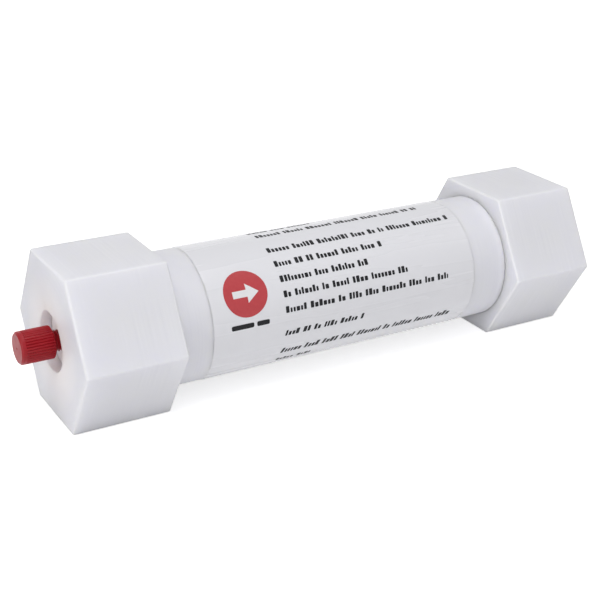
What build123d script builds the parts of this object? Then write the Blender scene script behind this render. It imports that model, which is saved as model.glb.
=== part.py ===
from build123d import *
import os

# A prepacked chromatography column lying on the flats of its two hexagonal end caps.
# The tube's axis is X, its middle is the origin, +Z is up and the inlet is at -X.
# All sizes are millimetres. An "x" in a name is a distance from the middle, the same at both ends.

# Tube and packed bed
bed_length = 100.0
bore_diameter = 25.0
tube_diameter = 40.7
tube_length = 152.5
tube_thread_step = 0.2  # radial, from the plain tube down to the crests of the thread at each end
tube_thread_depth = 0.9  # radial, from the crests down to the root, where the solid stops
bore_lead_in = 0.8  # chamfer that lets the seals slide in
tube_end_chamfer = 0.6

# Label round the tube
label_thickness = 0.1
label_inlet_x = 48.0
label_outlet_x = 46.4
label_gap = 0.02

# Frit at each end of the bed
frit_thickness = 2.0
slide_in_gap = 0.05  # radial, between the bore and what slides into it

# End fitting: a plunger in the bore, a flange on the tube's end and a boss in the cap's hole
flange_inset = 0.3  # radial, from the tube's thread root
flange_thickness = 4.5
flange_edge = 0.4
boss_gap = 0.3  # radial, inside the cap's hole
spigot_waist_diameter = 22.0
waist_start = 14.0  # from the plunger's inner face
waist_end = 3.0  # from the tube's end
face_gap = 0.05  # between the plunger's inner face and the frit
channel_diameter = 1.0

# Flow distributor cut into the plunger's inner face
distributor_diameter = 21.0
distributor_depth = 0.6
spoke_count = 8
spoke_width = 1.2
ring_groove_width = 1.0
ring_groove_diameters = (9.0, 15.0)

# Seals on the plunger
seal_section = 1.74  # squeezed, across
seal_width = 2.2  # squeezed, along the tube
seal_flat = 1.0  # width of each pressed flat, inside and outside
seal_gap = 0.03  # between a seal and the wall it presses on
seal_groove_width = 2.6
first_seal_offset = 4.0  # from the plunger's inner face
second_seal_offset = 9.5

# Flat-bottomed port and its stop plug
port_thread_gap = 0.05  # radial, between the port's wall and the plug's crests
port_depth = 7.7
port_lead_in = 0.5
plug_thread_diameter = 6.35  # over the crests
plug_root_diameter = 5.4  # the solid stops at the thread's root
plug_tip_chamfer = 0.5
plug_stand_off = 2.95  # from the boss face to the plug's head
plug_head_diameter = 9.7
plug_head_length = 10.5
plug_front_diameter = 8.6
plug_front_chamfer = 0.55
plug_neck_diameter = 7.4
plug_neck_chamfer = 0.7
rib_count = 36
rib_groove_depth = 0.3
rib_front_land = 0.9  # smooth band behind the front chamfer
gate_mark_diameter = 0.9
gate_mark_depth = 0.25
port_bottom_gap = 0.02

# Slip washer and hexagonal cap
washer_thickness = 1.0
washer_inset = 0.3  # radial, from the flange
washer_hole_gap = 0.5  # radial, round the boss
cap_across_flats = 47.6
cap_length = 30.6
cap_wall = 8.0
cap_hole_diameter = 17.8
cap_hole_chamfer = 0.25
recess_depth = 3.5  # from the cap's face down to the boss
thread_gap = 0.1  # radial, between the cap's bore and the tube's thread crests
mouth_gap = 0.05  # radial, between the plain tube and the cap's mouth
mouth_depth = 4.0
mouth_chamfer = 0.1
shoulder_cover = 1.0  # how far the mouth reaches past the tube's shoulder
cap_corner_radius = 0.8
cap_face_radius = 0.8
cap_rim_chamfer = 0.4

# Places worked out from the sizes above
bed_end_x = bed_length / 2
plunger_face_x = bed_end_x + frit_thickness + face_gap
tube_end_x = tube_length / 2
flange_face_x = tube_end_x + flange_thickness
cap_seat_x = flange_face_x + washer_thickness
cap_face_x = cap_seat_x + cap_wall
cap_rim_x = cap_face_x - cap_length
shoulder_x = cap_rim_x + mouth_depth - shoulder_cover
boss_face_x = cap_face_x - recess_depth
port_bottom_x = boss_face_x - port_depth
port_radius = plug_thread_diameter / 2 + port_thread_gap
plug_neck_x = boss_face_x + plug_stand_off
plug_front_x = plug_neck_x + plug_head_length

bore_radius = bore_diameter / 2
tube_radius = tube_diameter / 2
thread_radius = tube_radius - tube_thread_step
root_radius = thread_radius - tube_thread_depth
flange_radius = root_radius - flange_inset
washer_radius = flange_radius - washer_inset
hole_radius = cap_hole_diameter / 2
boss_radius = hole_radius - boss_gap
washer_hole_radius = boss_radius + washer_hole_gap
plunger_radius = bore_radius - slide_in_gap
seal_outer_radius = bore_radius - seal_gap
seal_inner_radius = seal_outer_radius - seal_section
seal_groove_radius = seal_inner_radius - seal_gap
cap_bore_radius = thread_radius + thread_gap
cap_mouth_radius = tube_radius + mouth_gap


# Turns a closed profile of (x, radius) points about the tube's axis, at one end of the column.
def turn(side, profile, mode=Mode.ADD):
    with BuildSketch(Plane.XZ) as section:
        with BuildLine():
            Polyline(*[(side * x, radius) for x, radius in profile], close=True)
        make_face()
    revolve(section.sketch, axis=Axis.X, mode=mode)


# The flat face of a part that lies furthest out along the tube.
def outermost_face(part, side):
    return part.faces().sort_by(Axis.X)[-1 if side > 0 else 0]


def innermost_face(part, side):
    return outermost_face(part, -side)


def make_tube():
    with BuildPart() as tube:
        Cylinder(root_radius, tube_length, rotation=(0, 90, 0))
        Cylinder(tube_radius, 2 * shoulder_x, rotation=(0, 90, 0))
        Cylinder(bore_radius, tube_length, rotation=(0, 90, 0), mode=Mode.SUBTRACT)
        rims = tube.edges().filter_by(GeomType.CIRCLE).group_by(SortBy.RADIUS)
        chamfer(rims[0], bore_lead_in)
        for end_face in (outermost_face(tube, -1), outermost_face(tube, 1)):
            chamfer(end_face.edges().sort_by(SortBy.RADIUS)[-1], tube_end_chamfer)
    return tube


def make_label():
    inner = tube_radius + label_gap
    outer = inner + label_thickness
    with BuildPart() as label:
        with BuildSketch(Plane.XZ):
            with BuildLine():
                Polyline(
                    (-label_inlet_x, inner),
                    (label_outlet_x, inner),
                    (label_outlet_x, outer),
                    (-label_inlet_x, outer),
                    close=True,
                )
            make_face()
        revolve(axis=Axis.X)
    return label


def make_bed():
    with BuildPart() as bed:
        Cylinder(plunger_radius, bed_length, rotation=(0, 90, 0))
    return bed


def make_frit(side):
    with BuildPart() as frit:
        turn(side, [
            (bed_end_x, 0),
            (bed_end_x + frit_thickness, 0),
            (bed_end_x + frit_thickness, plunger_radius),
            (bed_end_x, plunger_radius),
        ])
    return frit


def make_end_fitting(side):
    waist_x = plunger_face_x + waist_start
    collar_x = tube_end_x - waist_end
    with BuildPart() as fitting:
        turn(side, [
            (plunger_face_x, 0),
            (plunger_face_x, plunger_radius),
            (waist_x, plunger_radius),
            (waist_x, spigot_waist_diameter / 2),
            (collar_x, spigot_waist_diameter / 2),
            (collar_x, plunger_radius),
            (tube_end_x, plunger_radius),
            (tube_end_x, flange_radius),
            (flange_face_x, flange_radius),
            (flange_face_x, boss_radius),
            (boss_face_x, boss_radius),
            (boss_face_x, 0),
        ])
        rims = fitting.edges().filter_by(GeomType.CIRCLE).group_by(SortBy.RADIUS)[-1]
        chamfer(rims, flange_edge)
        for offset in (first_seal_offset, second_seal_offset):
            middle_x = plunger_face_x + offset
            turn(side, [
                (middle_x - seal_groove_width / 2, seal_groove_radius),
                (middle_x + seal_groove_width / 2, seal_groove_radius),
                (middle_x + seal_groove_width / 2, bore_radius),
                (middle_x - seal_groove_width / 2, bore_radius),
            ], Mode.SUBTRACT)
        turn(side, [
            (port_bottom_x, 0),
            (port_bottom_x, port_radius),
            (boss_face_x - port_lead_in, port_radius),
            (boss_face_x, port_radius + port_lead_in),
            (boss_face_x, 0),
        ], Mode.SUBTRACT)
        turn(side, [
            (plunger_face_x, 0),
            (port_bottom_x, 0),
            (port_bottom_x, channel_diameter / 2),
            (plunger_face_x, channel_diameter / 2),
        ], Mode.SUBTRACT)
        with BuildSketch(Plane.YZ.offset(side * plunger_face_x)):
            with PolarLocations(0, spoke_count):
                with Locations((distributor_diameter / 4, 0)):
                    SlotCenterToCenter(distributor_diameter / 2 - spoke_width, spoke_width)
            for diameter in ring_groove_diameters:
                Circle(diameter / 2 + ring_groove_width / 2)
                Circle(diameter / 2 - ring_groove_width / 2, mode=Mode.SUBTRACT)
        extrude(amount=side * distributor_depth, mode=Mode.SUBTRACT)
    return fitting


def make_seal(side, offset):
    middle_x = plunger_face_x + offset
    middle_radius = (seal_outer_radius + seal_inner_radius) / 2
    with BuildPart() as seal:
        turn(side, [
            (middle_x - seal_width / 2, middle_radius),
            (middle_x - seal_flat / 2, seal_outer_radius),
            (middle_x + seal_flat / 2, seal_outer_radius),
            (middle_x + seal_width / 2, middle_radius),
            (middle_x + seal_flat / 2, seal_inner_radius),
            (middle_x - seal_flat / 2, seal_inner_radius),
        ])
    return seal


def make_slip_washer(side):
    with BuildPart() as washer:
        turn(side, [
            (flange_face_x, washer_hole_radius),
            (cap_seat_x, washer_hole_radius),
            (cap_seat_x, washer_radius),
            (flange_face_x, washer_radius),
        ])
    return washer


def make_cap(side):
    with BuildPart() as cap:
        with BuildSketch(Plane.YZ.offset(side * cap_rim_x)):
            RegularPolygon(cap_across_flats / 2, 6, major_radius=False)
        extrude(amount=side * cap_length)
        fillet(cap.edges().filter_by(Axis.X), cap_corner_radius)
        fillet(outermost_face(cap, side).edges(), cap_face_radius)
        chamfer(innermost_face(cap, side).edges(), cap_rim_chamfer)
        turn(side, [
            (cap_rim_x, 0),
            (cap_rim_x, cap_mouth_radius + mouth_chamfer),
            (cap_rim_x + mouth_chamfer, cap_mouth_radius),
            (cap_rim_x + mouth_depth, cap_mouth_radius),
            (cap_rim_x + mouth_depth, cap_bore_radius),
            (cap_seat_x, cap_bore_radius),
            (cap_seat_x, hole_radius),
            (cap_face_x - cap_hole_chamfer, hole_radius),
            (cap_face_x, hole_radius + cap_hole_chamfer),
            (cap_face_x, 0),
        ], Mode.SUBTRACT)
    return cap


def make_stop_plug(side):
    tip_x = port_bottom_x + port_bottom_gap
    shank_radius = plug_root_diameter / 2
    groove_side = rib_groove_depth * 2**0.5  # a square on its corner cuts a V
    head_radius = plug_head_diameter / 2
    rib_end_x = plug_front_x - plug_front_chamfer - rib_front_land
    with BuildPart() as plug:
        turn(side, [
            (tip_x, 0),
            (tip_x, shank_radius - plug_tip_chamfer),
            (tip_x + plug_tip_chamfer, shank_radius),
            (plug_neck_x, shank_radius),
            (plug_neck_x, plug_neck_diameter / 2),
            (plug_neck_x + plug_neck_chamfer, head_radius),
            (plug_front_x - plug_front_chamfer, head_radius),
            (plug_front_x, plug_front_diameter / 2),
            (plug_front_x, 0),
        ])
        with BuildSketch(Plane.YZ.offset(side * plug_neck_x)):
            with PolarLocations(head_radius, rib_count):
                Rectangle(groove_side, groove_side, rotation=45)
        extrude(amount=side * (rib_end_x - plug_neck_x), mode=Mode.SUBTRACT)
        turn(side, [
            (plug_front_x - gate_mark_depth, 0),
            (plug_front_x, gate_mark_diameter / 2),
            (plug_front_x, 0),
        ], Mode.SUBTRACT)
    return plug


def save(piece, name):
    piece.part.label = name
    export_step(piece.part, f"parts/{name}.step")


os.makedirs("parts", exist_ok=True)
save(make_tube(), "column_tube")
save(make_label(), "label_film")
save(make_bed(), "packed_bed")
for side, end in ((-1, "inlet"), (1, "outlet")):
    save(make_frit(side), f"{end}_frit")
    save(make_end_fitting(side), f"{end}_end_fitting")
    save(make_seal(side, first_seal_offset), f"{end}_first_o_ring")
    save(make_seal(side, second_seal_offset), f"{end}_second_o_ring")
    save(make_slip_washer(side), f"{end}_slip_washer")
    save(make_cap(side), f"{end}_cap")
    save(make_stop_plug(side), f"{end}_stop_plug")
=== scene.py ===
import math
import random

import bmesh
import bpy
from mathutils import Matrix, Vector


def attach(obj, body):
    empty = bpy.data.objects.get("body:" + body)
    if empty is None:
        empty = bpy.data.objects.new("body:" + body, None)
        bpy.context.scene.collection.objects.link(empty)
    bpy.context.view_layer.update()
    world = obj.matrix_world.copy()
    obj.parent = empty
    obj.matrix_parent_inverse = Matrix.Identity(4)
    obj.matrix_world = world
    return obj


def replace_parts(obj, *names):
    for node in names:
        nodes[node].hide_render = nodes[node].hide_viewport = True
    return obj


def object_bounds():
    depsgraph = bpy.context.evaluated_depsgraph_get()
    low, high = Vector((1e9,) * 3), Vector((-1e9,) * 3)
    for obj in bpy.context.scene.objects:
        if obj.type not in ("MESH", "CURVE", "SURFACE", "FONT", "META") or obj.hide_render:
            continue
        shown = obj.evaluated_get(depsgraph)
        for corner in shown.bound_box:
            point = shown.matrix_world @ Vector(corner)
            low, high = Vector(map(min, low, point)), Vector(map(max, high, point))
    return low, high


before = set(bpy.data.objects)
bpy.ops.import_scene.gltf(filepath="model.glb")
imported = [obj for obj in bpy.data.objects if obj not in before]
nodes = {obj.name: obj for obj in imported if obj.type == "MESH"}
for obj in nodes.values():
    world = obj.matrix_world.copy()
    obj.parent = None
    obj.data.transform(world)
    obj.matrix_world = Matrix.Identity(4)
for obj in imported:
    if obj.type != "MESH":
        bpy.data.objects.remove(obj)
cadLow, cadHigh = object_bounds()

mm = 0.001
mergeDistance = 1e-7
fullTurn = 2 * math.pi
scene = bpy.context.scene
random.seed(11)


def addNode(tree, kind, **settings):
    node = tree.nodes.new(kind)
    for key, value in settings.items():
        setattr(node, key, value)
    return node


def newMaterial(name):
    material = bpy.data.materials.new(name)
    material.use_nodes = True
    tree = material.node_tree
    coords = addNode(tree, "ShaderNodeTexCoord")
    return material, tree, tree.nodes["Principled BSDF"], coords.outputs["Object"]


# numbers are set on the sockets, anything else is linked to them
def feed(tree, sockets, values):
    for socket, value in zip(sockets, values):
        if isinstance(value, (int, float)):
            socket.default_value = value
        else:
            tree.links.new(value, socket)


def mathNode(tree, operation, *values):
    node = addNode(tree, "ShaderNodeMath", operation=operation)
    feed(tree, node.inputs, values)
    return node.outputs[0]


def combine(tree, *values):
    node = addNode(tree, "ShaderNodeCombineXYZ")
    feed(tree, node.inputs, values)
    return node.outputs[0]


def splitAxes(tree, vector):
    node = addNode(tree, "ShaderNodeSeparateXYZ")
    tree.links.new(vector, node.inputs[0])
    return node.outputs[0], node.outputs[1], node.outputs[2]


def reachOf(tree, first, second):
    squares = [mathNode(tree, "POWER", value, 2) for value in (first, second)]
    return mathNode(tree, "SQRT", mathNode(tree, "ADD", *squares))


def noiseNode(tree, vector, scale, detail):
    node = addNode(tree, "ShaderNodeTexNoise")
    node.inputs["Scale"].default_value = scale
    node.inputs["Detail"].default_value = detail
    tree.links.new(vector, node.inputs["Vector"])
    return node.outputs["Fac"]


def remap(tree, value, low, high, fromLow, fromHigh):
    node = addNode(tree, "ShaderNodeMapRange")
    tree.links.new(value, node.inputs["Value"])
    limits = {"From Min": fromLow, "From Max": fromHigh, "To Min": low, "To Max": high}
    for name, number in limits.items():
        node.inputs[name].default_value = number
    return node.outputs["Result"]


# a mix of two colours: inputs 6 and 7 of the node are the colour sockets
def mixColours(tree, factor, first, second):
    node = addNode(tree, "ShaderNodeMix", data_type="RGBA")
    tree.links.new(factor, node.inputs["Factor"])
    for socket, colour in zip(node.inputs[6:8], (first, second)):
        if isinstance(colour, tuple):
            socket.default_value = (*colour, 1)
        else:
            tree.links.new(colour, socket)
    return node.outputs[2]


def addBump(tree, shader, height, depth, strength, before=None):
    node = addNode(tree, "ShaderNodeBump")
    node.inputs["Distance"].default_value = depth * mm
    node.inputs["Strength"].default_value = strength
    tree.links.new(height, node.inputs["Height"])
    if before is not None:
        tree.links.new(before, node.inputs["Normal"])
    tree.links.new(node.outputs[0], shader.inputs["Normal"])
    return node.outputs[0]


def addScatter(shader, look):
    shader.inputs["Subsurface Weight"].default_value = look["scatter"]
    shader.inputs["Subsurface Radius"].default_value = [reach * mm for reach in look["scatterRadius"]]
    shader.inputs["Subsurface Scale"].default_value = 1.0


# bare translucent plastic with faint cutter marks: hoops round a side, rings on an end face, and a painted
# glow near the axis
milky = {
    "pale": (0.80, 0.80, 0.845),
    "deep": (0.755, 0.755, 0.805),
    "roughness": (0.40, 0.55),
    "ior": 1.49,
    "scatter": 1.0,
    "scatterRadius": (4.6, 4.6, 5.1),
    "cloudScale": 45,
    "cloudRange": (0.3, 0.7),
    "faceLimit": 0.7,  # how far a surface looks along the axis before it counts as an end face
    "markScale": 950,
    "markDepth": 0.012,
    "markTint": 0.45,
    "patchScale": 70,
    "patchRange": (0.42, 0.6),
    "patchStrength": (0.1, 1.0),  # the marks are faint in some places and full in others
    "grainScale": 1500,
    "grainDepth": 0.010,
    "grainStrength": 0.5,
    "heart": (0.93, 0.895, 0.915),  # painted glow: lighter and faintly rosy round the stop plug, painted light of the red plug and painted brightening of the cap's hole
    "heartReach": (9.0, 21.0),
}
tubeLook = dict(milky, scatterRadius=(2.4, 2.4, 2.7), heart=milky["pale"])
fittingLook = dict(milky, pale=(0.86, 0.845, 0.87), deep=(0.83, 0.81, 0.84), scatter=0.3)


def milkyPlastic(name, look):
    material, tree, shader, place = newMaterial(name)
    x, y, z = splitAxes(tree, place)
    cloud = noiseNode(tree, place, look["cloudScale"], 3)
    roughness = remap(tree, cloud, *look["roughness"], *look["cloudRange"])
    tree.links.new(roughness, shader.inputs["Roughness"])
    shader.inputs["IOR"].default_value = look["ior"]
    addScatter(shader, look)
    normal = addNode(tree, "ShaderNodeTexCoord").outputs["Normal"]
    lengthways = mathNode(tree, "ABSOLUTE", splitAxes(tree, normal)[0])
    onFace = mathNode(tree, "GREATER_THAN", lengthways, look["faceLimit"])
    radius = reachOf(tree, y, z)
    travel = addNode(tree, "ShaderNodeMix", data_type="FLOAT")
    feed(tree, (travel.inputs[0], travel.inputs[2], travel.inputs[3]), (onFace, x, radius))
    marks = noiseNode(tree, combine(tree, travel.outputs[0], 0, 0), look["markScale"], 2)
    patchNoise = noiseNode(tree, place, look["patchScale"], 1)
    patches = remap(tree, patchNoise, *look["patchStrength"], *look["patchRange"])
    streaky = remap(tree, marks, -look["markTint"], look["markTint"], *look["cloudRange"])
    tone = mathNode(tree, "ADD", cloud, mathNode(tree, "MULTIPLY", streaky, patches))
    # painted glow: near the axis the colour turns lighter and rosy, painted light of the red plug on the
    # cap's hole, its face and the fitting inside
    paintedGlowMask = remap(tree, radius, 1, 0, *[reach * mm for reach in look["heartReach"]])
    body = mixColours(tree, tone, look["pale"], look["deep"])
    tree.links.new(mixColours(tree, paintedGlowMask, body, look["heart"]), shader.inputs["Base Color"])
    cuts = addBump(tree, shader, mathNode(tree, "MULTIPLY", marks, patches), look["markDepth"], 1.0)
    grain = noiseNode(tree, place, look["grainScale"], 2)
    addBump(tree, shader, grain, look["grainDepth"], look["grainStrength"], cuts)
    return material


# glossy label film, with long faint wrinkles that run along the tube
film = {
    "colour": (0.775, 0.775, 0.812),
    "shade": (0.755, 0.755, 0.792),
    "roughness": (0.20, 0.32),
    "streakAlong": 12,
    "streakAcross": 150,
    "streakRange": (0.35, 0.65),
    "streakDepth": 0.006,
    "streakStrength": 0.6,
    "lift": 0.003,  # inside of the film above the tube
    "feather": 1.2,  # length over which the film's ends thin out
    "cuts": 11,  # along the tube
    "steps": 180,  # round it
    "sharpAngle": 0.8,
}


def printedFilm(name):
    material, tree, shader, place = newMaterial(name)
    x, y, z = splitAxes(tree, place)
    around = mathNode(tree, "MULTIPLY", mathNode(tree, "ARCTAN2", z, y), filmRadius)
    stretched = combine(
        tree,
        mathNode(tree, "MULTIPLY", x, film["streakAlong"]),
        mathNode(tree, "MULTIPLY", around, film["streakAcross"]),
        0,
    )
    streaks = noiseNode(tree, stretched, 1.0, 3)
    colour = mixColours(tree, streaks, film["colour"], film["shade"])
    roughness = remap(tree, streaks, *film["roughness"], *film["streakRange"])
    tree.links.new(colour, shader.inputs["Base Color"])
    tree.links.new(roughness, shader.inputs["Roughness"])
    addBump(tree, shader, streaks, film["streakDepth"], film["streakStrength"])
    return material


redLook = {
    "colour": (0.34, 0.004, 0.012),
    "dark": (0.28, 0.003, 0.009),
    "cloudScale": 260,
    "cloudRange": (0.3, 0.7),
    "roughness": (0.34, 0.46),
    "specular": 0.3,
    "scatter": 0.15,
    "scatterRadius": (1.5, 0.3, 0.3),
    "grainScale": 2600,
    "grainDepth": 0.006,
    "grainStrength": 0.5,
}


def redPlastic(name):
    material, tree, shader, place = newMaterial(name)
    cloud = noiseNode(tree, place, redLook["cloudScale"], 3)
    colour = mixColours(tree, cloud, redLook["colour"], redLook["dark"])
    roughness = remap(tree, cloud, *redLook["roughness"], *redLook["cloudRange"])
    tree.links.new(colour, shader.inputs["Base Color"])
    tree.links.new(roughness, shader.inputs["Roughness"])
    shader.inputs["Specular IOR Level"].default_value = redLook["specular"]
    addScatter(shader, redLook)
    grain = noiseNode(tree, place, redLook["grainScale"], 2)
    addBump(tree, shader, grain, redLook["grainDepth"], redLook["grainStrength"])
    return material


# finishes with one even gloss and a fine grain
washerLook = {
    "colour": (0.80, 0.80, 0.79),
    "shade": (0.74, 0.74, 0.73),
    "roughness": 0.3,
    "grainScale": 500,
    "grainDepth": 0.01,
}
fritLook = {
    "colour": (0.80, 0.80, 0.78),
    "shade": (0.55, 0.55, 0.54),
    "roughness": 0.85,
    "grainScale": 3500,
    "grainDepth": 0.06,
}
sealLook = {
    "colour": (0.02, 0.02, 0.022),
    "shade": (0.035, 0.035, 0.036),
    "roughness": 0.5,
    "grainScale": 1800,
    "grainDepth": 0.01,
}
inkLook = {
    "colour": (0.006, 0.006, 0.008),
    "shade": (0.012, 0.012, 0.015),
    "roughness": 0.45,
    "grainScale": 2500,
    "grainDepth": 0.003,
    "specular": 0.2,
}
redInkLook = {
    "colour": (0.50, 0.050, 0.058),
    "shade": (0.44, 0.035, 0.045),
    "roughness": 0.3,
    "grainScale": 900,
    "grainDepth": 0.003,
}
whiteInkLook = {
    "colour": (0.80, 0.80, 0.82),
    "shade": (0.76, 0.76, 0.78),
    "roughness": 0.35,
    "grainScale": 900,
    "grainDepth": 0.003,
}
plainSpecular = 0.5
plainGrain = 0.6


def plainFinish(name, look):
    material, tree, shader, place = newMaterial(name)
    grain = noiseNode(tree, place, look["grainScale"], 3)
    colour = mixColours(tree, grain, look["colour"], look["shade"])
    tree.links.new(colour, shader.inputs["Base Color"])
    shader.inputs["Roughness"].default_value = look["roughness"]
    shader.inputs["Specular IOR Level"].default_value = look.get("specular", plainSpecular)
    addBump(tree, shader, grain, look["grainDepth"], plainGrain)
    return material


bedLook = {
    "colour": (0.86, 0.84, 0.78),
    "shade": (0.6, 0.58, 0.52),
    "roughness": 0.8,
    "beadScale": 4000,
    "beadDepth": 0.05,
    "beadStrength": 0.8,
}


def beadedBed(name):
    material, tree, shader, place = newMaterial(name)
    beads = addNode(tree, "ShaderNodeTexVoronoi")
    beads.inputs["Scale"].default_value = bedLook["beadScale"]
    tree.links.new(place, beads.inputs["Vector"])
    height = beads.outputs["Distance"]
    colour = mixColours(tree, height, bedLook["colour"], bedLook["shade"])
    tree.links.new(colour, shader.inputs["Base Color"])
    shader.inputs["Roughness"].default_value = bedLook["roughness"]
    addBump(tree, shader, height, bedLook["beadDepth"], bedLook["beadStrength"])
    return material


# corners of a CAD piece's box, in millimetres
def boxOf(nodeName):
    corners = [nodes[nodeName].matrix_world @ Vector(corner) for corner in nodes[nodeName].bound_box]
    low = Vector([min(corner[axis] for corner in corners) for axis in range(3)])
    high = Vector([max(corner[axis] for corner in corners) for axis in range(3)])
    return low / mm, high / mm


filmLow, filmHigh = boxOf("label_film")
tubeTop = boxOf("column_tube")[1].z
capMouth = boxOf("outlet_cap")[0].x
plugTip = boxOf("outlet_stop_plug")[0].x
filmRadius = filmHigh.z * mm
print("film radius", round(filmHigh.z, 2), "cap mouth", round(capMouth, 2), "plug tip", round(plugTip, 2))

finishes = {
    "tube": milkyPlastic("milky tube plastic", tubeLook),
    "cap": milkyPlastic("milky cap plastic", milky),
    "fitting": milkyPlastic("milky fitting plastic", fittingLook),
    "film": printedFilm("label film"),
    "plug": redPlastic("red plug plastic"),
    "washer": plainFinish("slip washer plastic", washerLook),
    "frit": plainFinish("sintered frit", fritLook),
    "seal": plainFinish("black seal rubber", sealLook),
    "bed": beadedBed("packed beads"),
    "ink": plainFinish("dark print ink", inkLook),
    "redInk": plainFinish("red print ink", redInkLook),
    "whiteInk": plainFinish("white print ink", whiteInkLook),
}

nodeFinishes = {
    "column_tube": "tube",
    "label_film": "film",
    "packed_bed": "bed",
    "frit": "frit",
    "end_fitting": "fitting",
    "first_o_ring": "seal",
    "second_o_ring": "seal",
    "slip_washer": "washer",
    "cap": "cap",
    "stop_plug": "plug",
}

for nodeName, node in nodes.items():
    key = nodeName.replace("inlet_", "").replace("outlet_", "")
    node.data.materials.clear()
    node.data.materials.append(finishes[nodeFinishes[key]])
print("finishes on", len(nodes), "nodes")


def placeMesh(name, bm, material):
    mesh = bpy.data.meshes.new(name)
    bm.to_mesh(mesh)
    bm.free()
    mesh.materials.append(material)
    piece = bpy.data.objects.new(name, mesh)
    scene.collection.objects.link(piece)
    return piece


def finishPiece(name, bm, material, body):
    bmesh.ops.remove_doubles(bm, verts=bm.verts, dist=mergeDistance)
    bmesh.ops.recalc_face_normals(bm, faces=bm.faces)
    piece = placeMesh(name, bm, material)
    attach(piece, body)
    return piece


def makeFilm():
    bm = bmesh.new()
    inner, outer = tubeTop + film["lift"], filmHigh.z
    low, high = filmLow.x, filmHigh.x
    section = [(low, inner), (low + film["feather"], outer), (high - film["feather"], outer), (high, inner)]
    loop = [bm.verts.new((x * mm, radius * mm, 0)) for x, radius in section]
    edges = [bm.edges.new((loop[i], loop[(i + 1) % len(loop)])) for i in range(len(loop))]
    bmesh.ops.subdivide_edges(bm, edges=[edges[1], edges[3]], cuts=film["cuts"])
    bmesh.ops.spin(
        bm,
        geom=bm.verts[:] + bm.edges[:],
        cent=(0, 0, 0),
        axis=(1, 0, 0),
        angle=fullTurn,
        steps=film["steps"],
        use_merge=True,
    )
    for face in bm.faces:
        face.smooth = True
    for edge in bm.edges:
        edge.smooth = edge.calc_face_angle(0) < film["sharpAngle"]
    return bm


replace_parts(finishPiece("labelFilm", makeFilm(), finishes["film"], "column"), "label_film")
print("film made")


# print is thin plates of ink, bent round the film
ink = {
    "lift": 0.004,  # under the ink, above the film
    "thickness": 0.03,
    "reach": 8,  # a plate is cut every millimetre this far to each side, so that it bends
}


def addBar(bm, centreX, centreY, length, height, rounding, lean=0.0):
    verts = bmesh.ops.create_grid(bm, x_segments=1, y_segments=1, size=0.5 * mm)["verts"]
    bmesh.ops.scale(bm, verts=verts, vec=(length, height, 1))
    for vert in verts:
        vert.co.x += lean * vert.co.y
    bmesh.ops.translate(bm, verts=verts, vec=(centreX * mm, centreY * mm, 0))
    bmesh.ops.bevel(
        bm,
        geom=verts,
        offset=rounding * mm,
        segments=3,
        profile=0.5,
        affect="VERTICES",
        material=-1,
    )


def thickenAndBend(bm, degrees, base=0.0):
    for step in range(-ink["reach"], ink["reach"] + 1):
        geometry = bm.verts[:] + bm.edges[:] + bm.faces[:]
        bmesh.ops.bisect_plane(bm, geom=geometry, plane_co=(0, step * mm, 0), plane_no=(0, 1, 0))
    raised = bmesh.ops.extrude_face_region(bm, geom=bm.faces[:])
    tops = [item for item in raised["geom"] if isinstance(item, bmesh.types.BMVert)]
    bmesh.ops.translate(bm, verts=tops, vec=(0, 0, ink["thickness"] * mm))
    middle = math.radians(degrees)
    for vert in bm.verts:
        turn = middle - vert.co.y / filmRadius
        reach = filmRadius + (ink["lift"] + base) * mm + vert.co.z
        vert.co.y = reach * math.cos(turn)
        vert.co.z = reach * math.sin(turn)


# each line of print: angle round the tube from +Y, start and end along it, height and lean
printLines = [
    (78.0, -24.0, -2.0, 1.1, 0.0),
    (90.5, -23.5, 36.0, 1.4, 0.0),
    (113.5, -24.0, 43.0, 1.4, 0.0),
    (128.5, -24.0, 14.6, 1.4, 0.0),
    (142.5, -24.0, 7.5, 1.4, 0.0),
    (155.5, -24.0, 21.7, 1.4, 0.0),
    (168.7, -24.0, 35.8, 1.4, 0.0),
    (189.8, -24.0, 4.5, 1.3, 0.25),
    (210.3, -24.0, 39.7, 1.6, 0.25),
    (225.0, -24.0, -12.0, 1.2, 0.0),
]
words = {
    "marks": (2, 3, 4, 5, 6, 7, 9),
    "markWidths": (0.7, 0.9, 0.9, 1.15),
    "leastWidth": 0.4,  # a narrower one at a line's end is left out
    "markGap": 0.36,
    "wordGap": 1.1,
    "endRoom": 1.0,  # no word starts this near to a line's end
    "rounding": 0.22,
    "rise": 0.45,  # how much of its height a tall mark stands above the rest
    "tallShare": 0.3,
}


# words stand as rows of plain blocks, some of them tall, so that nothing can be read
def makeLine(degrees, startX, endX, height, lean):
    bm = bmesh.new()
    x = startX
    while x < endX - words["endRoom"]:
        for count in range(random.choice(words["marks"])):
            width = min(random.choice(words["markWidths"]), endX - x)
            tall = count == 0 or random.random() < words["tallShare"]
            rise = height * words["rise"] if tall else 0.0
            if width > words["leastWidth"]:
                addBar(bm, x + width / 2, rise / 2, width, height + rise, words["rounding"], lean)
            x += width + words["markGap"]
            if x > endX:
                break
        x += words["wordGap"]
    thickenAndBend(bm, degrees)
    return bm


for index, line in enumerate(printLines):
    finishPiece("printLine%d" % (index + 1), makeLine(*line), finishes["ink"], "column")
print("print lines", len(printLines))


# a round flow mark: its arrow points to the outlet, and two short bars stand under it
mark = {
    "x": -36.2,
    "degrees": 147.5,
    "radius": 7.1,
    "segments": 72,
    "shaftLength": 4.6,
    "shaftHeight": 2.1,
    "headLength": 3.9,
    "headHeight": 5.8,
    "barDegrees": 174.4,
    "bars": ((-38.6, 7.4), (-31.8, 4.2)),
    "barHeight": 1.5,
    "barRounding": 0.3,  # share of the bar's height
}


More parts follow.
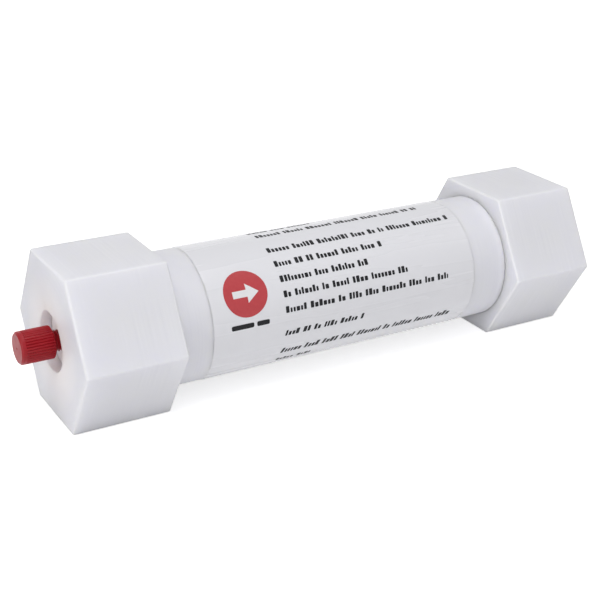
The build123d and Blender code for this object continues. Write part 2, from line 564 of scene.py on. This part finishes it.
def makeDisc():
    bm = bmesh.new()
    bmesh.ops.create_circle(bm, cap_ends=True, segments=mark["segments"], radius=mark["radius"] * mm)
    bmesh.ops.translate(bm, verts=bm.verts, vec=(mark["x"] * mm, 0, 0))
    thickenAndBend(bm, mark["degrees"])
    return bm


def makeArrow():
    bm = bmesh.new()
    tail = -(mark["shaftLength"] + mark["headLength"]) / 2
    neck, tip = tail + mark["shaftLength"], -tail
    half, wide = mark["shaftHeight"] / 2, mark["headHeight"] / 2
    shaft = [(tail, half), (tail, -half), (neck, -half)]
    head = [(neck, -wide), (tip, 0), (neck, wide), (neck, half)]
    bm.faces.new([bm.verts.new(((mark["x"] + x) * mm, y * mm, 0)) for x, y in shaft + head])
    thickenAndBend(bm, mark["degrees"], ink["thickness"] + ink["lift"])
    return bm


def makeMarkBars():
    bm = bmesh.new()
    rounding = mark["barHeight"] * mark["barRounding"]
    for x, length in mark["bars"]:
        addBar(bm, x, 0, length, mark["barHeight"], rounding)
    thickenAndBend(bm, mark["barDegrees"])
    return bm


finishPiece("flowDisc", makeDisc(), finishes["redInk"], "column")
finishPiece("flowArrow", makeArrow(), finishes["whiteInk"], "column")
finishPiece("flowBars", makeMarkBars(), finishes["ink"], "column")
print("flow mark made")


# screw threads: a ridge of trapezoid section swept round the tube, inside the cap and round the plug
tubeThread = {
    "pitch": 4.0,
    "rootWidth": 1.9,
    "crestWidth": 0.9,
    "stepsPerTurn": 72,
    "root": 19.2,
    "crest": 20.1,
    "start": capMouth + 5.0,
    "turns": 2.6,
}
# the cap's ridge runs half a pitch from the tube's, so the two never touch
capThread = dict(
    tubeThread,
    root=20.3,
    crest=19.45,
    start=tubeThread["start"] + tubeThread["pitch"] / 2,
    turns=3.3,
)
plugThread = {
    "pitch": 25.4 / 28,
    "rootWidth": 0.8,
    "crestWidth": 0.12,
    "stepsPerTurn": 32,
    "root": 2.65,
    "crest": 3.15,
    "start": plugTip + 0.9,
    "turns": 10.2,
}


# side is -1 at the inlet and 1 at the outlet
def makeRidge(side, thread):
    bm = bmesh.new()
    base, top = thread["rootWidth"] / 2, thread["crestWidth"] / 2
    root, crest = thread["root"], thread["crest"]
    section = [(-base, root), (-top, crest), (top, crest), (base, root)]
    corners = [(side * (thread["start"] + along) * mm, radius * mm, 0) for along, radius in section]
    face = bm.faces.new([bm.verts.new(corner) for corner in corners])
    bmesh.ops.spin(
        bm,
        geom=[face],
        cent=(0, 0, 0),
        axis=(side, 0, 0),
        dvec=(side * thread["pitch"] * mm / thread["stepsPerTurn"], 0, 0),
        angle=fullTurn * thread["turns"],
        steps=int(thread["turns"] * thread["stepsPerTurn"]),
    )
    return bm


for side, end in ((-1, "inlet"), (1, "outlet")):
    finishPiece(end + "TubeThread", makeRidge(side, tubeThread), finishes["tube"], "column")
    finishPiece(end + "CapThread", makeRidge(side, capThread), finishes["cap"], end + "_cap")
    finishPiece(end + "PlugThread", makeRidge(side, plugThread), finishes["plug"], end + "_plug")
print("threads made")


stage = {
    "floorSize": 6.0,
    "floorGap": 0.02,  # millimetres under the part
    "floorColour": (0.88, 0.88, 0.88),
    "floorGlow": (0.60, 1.1),  # near the part, and far from it
    "glowReach": (0.25, 1.3),
    "worldColour": (1.0, 1.0, 1.0),
    "worldStrength": 0.14,
}


# 1 for the rays that should find a bright background, 0 for those that light the part
def seenRays(tree):
    rays = addNode(tree, "ShaderNodeLightPath").outputs
    mirrored = mathNode(tree, "MAXIMUM", rays["Is Glossy Ray"], rays["Is Transmission Ray"])
    return mathNode(tree, "MAXIMUM", rays["Is Camera Ray"], mirrored)


def paleFloor(name):
    material, tree, shader, place = newMaterial(name)
    tree.nodes.remove(shader)
    out = tree.nodes["Material Output"]
    diffuse = addNode(tree, "ShaderNodeBsdfDiffuse")
    diffuse.inputs[0].default_value = (*stage["floorColour"], 1)
    glow = addNode(tree, "ShaderNodeEmission")
    x, y, z = splitAxes(tree, place)
    strength = remap(tree, reachOf(tree, x, y), *stage["floorGlow"], *stage["glowReach"])
    tree.links.new(mathNode(tree, "MULTIPLY", seenRays(tree), strength), glow.inputs["Strength"])
    both = addNode(tree, "ShaderNodeAddShader")
    feed(tree, both.inputs, (diffuse.outputs[0], glow.outputs[0]))
    tree.links.new(both.outputs[0], out.inputs[0])
    return material


def makeFloor():
    bm = bmesh.new()
    bmesh.ops.create_grid(bm, x_segments=1, y_segments=1, size=stage["floorSize"] / 2)
    bmesh.ops.translate(bm, verts=bm.verts, vec=(0, 0, cadLow.z - stage["floorGap"] * mm))
    placeMesh("floor", bm, paleFloor("pale floor"))


def makeWorld():
    world = bpy.data.worlds.new("studio")
    scene.world = world
    world.use_nodes = True
    tree = world.node_tree
    tree.nodes.clear()
    out = addNode(tree, "ShaderNodeOutputWorld")
    light = addNode(tree, "ShaderNodeBackground")
    light.inputs[0].default_value = (*stage["worldColour"], 1)
    light.inputs[1].default_value = stage["worldStrength"]
    white = addNode(tree, "ShaderNodeBackground")
    white.inputs[0].default_value = (1, 1, 1, 1)
    mix = addNode(tree, "ShaderNodeMixShader")
    feed(tree, mix.inputs, (seenRays(tree), light.outputs[0], white.outputs[0]))
    tree.links.new(mix.outputs[0], out.inputs[0])


# square soft panels, each aimed at the middle of the part
lampWidth = 0.8
lamps = [
    {"name": "topPanel", "place": (-0.17, -0.12, 1.07), "watts": 7.2},
    {"name": "frontPanel", "place": (-0.30, -0.98, 0.30), "watts": 3.15},
    {"name": "leftPanel", "place": (-1.0, -0.20, 0.30), "watts": 3.1},
    {"name": "rightPanel", "place": (1.0, -0.10, 0.50), "watts": 1.6},
    {"name": "backPanel", "place": (0.20, 1.0, 0.12), "watts": 0.5},
]


def makeLamp(lamp):
    data = bpy.data.lights.new(lamp["name"], "AREA")
    data.shape = "SQUARE"
    data.size = lampWidth
    data.energy = lamp["watts"]
    lampObject = bpy.data.objects.new(lamp["name"], data)
    place = Vector(lamp["place"])
    lampObject.location = place
    lampObject.rotation_euler = (-place).to_track_quat("-Z", "Y").to_euler()
    scene.collection.objects.link(lampObject)


# the camera looks along its azimuth and elevation, moved right and up of that line
cameraLook = {
    "azimuth": -31.274,
    "elevation": 23.412,
    "roll": 1.508,
    "distance": 388.89,
    "right": -6.206,
    "up": -4.592,
    "lens": 72.93,
    "sensor": 36,
    "nearest": 0.01,
    "farthest": 50,
}


def makeCamera():
    azimuth, elevation, roll = (math.radians(cameraLook[key]) for key in ("azimuth", "elevation", "roll"))
    level = math.cos(elevation)
    back = Vector((math.sin(azimuth) * level, -math.cos(azimuth) * level, math.sin(elevation)))
    flatRight = (-back).cross(Vector((0, 0, 1))).normalized()
    flatUp = flatRight.cross(-back)
    right = math.cos(roll) * flatRight + math.sin(roll) * flatUp
    up = math.cos(roll) * flatUp - math.sin(roll) * flatRight
    place = (right * cameraLook["right"] + up * cameraLook["up"] + back * cameraLook["distance"]) * mm
    data = bpy.data.cameras.new("camera")
    data.lens = cameraLook["lens"]
    data.sensor_width = cameraLook["sensor"]
    data.clip_start = cameraLook["nearest"]
    data.clip_end = cameraLook["farthest"]
    cameraObject = bpy.data.objects.new("camera", data)
    cameraObject.matrix_world = Matrix.Translation(place) @ Matrix((right, up, back)).transposed().to_4x4()
    scene.collection.objects.link(cameraObject)
    scene.camera = cameraObject


makeFloor()
makeWorld()
for lamp in lamps:
    makeLamp(lamp)
makeCamera()
scene.view_settings.view_transform = "Standard"
print("stage, lamps and camera ready")
